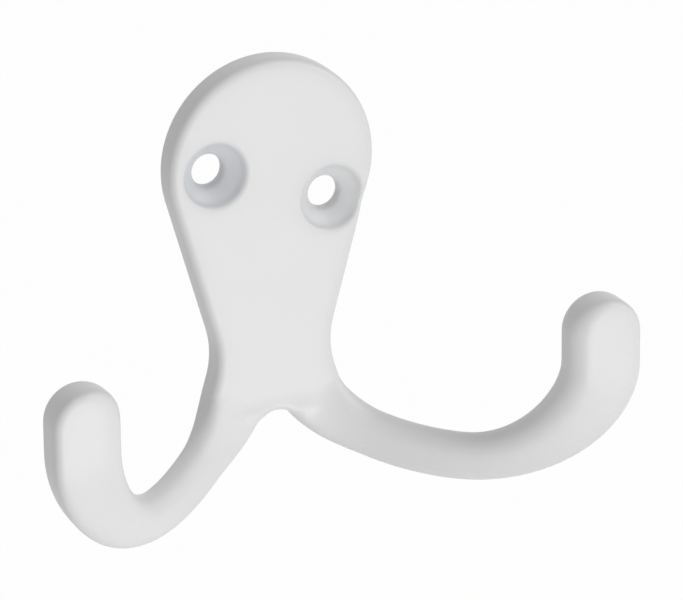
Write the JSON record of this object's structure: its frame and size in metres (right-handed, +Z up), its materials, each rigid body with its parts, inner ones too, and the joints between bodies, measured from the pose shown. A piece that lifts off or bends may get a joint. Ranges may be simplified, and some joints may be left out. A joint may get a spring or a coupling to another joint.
{
  "type": "double clothes hook",
  "caption": "Cast wall hook for clothes: flat round-headed screw plate, narrow neck and mirrored arms that bow out, down and forward to upturned rounded tips.",
  "frame": {"origin": "on the wall plane, midway between the screw holes", "axes": "+X to the right, +Y into the wall, +Z up; the front faces -Y"},
  "size_m": [0.0792, 0.0284, 0.056],
  "materials": {
    "white_paint": "smooth white paint with a soft sheen"
  },
  "bodies": {
    "root": {"hook": "white_paint"}
  },
  "joints": []
}
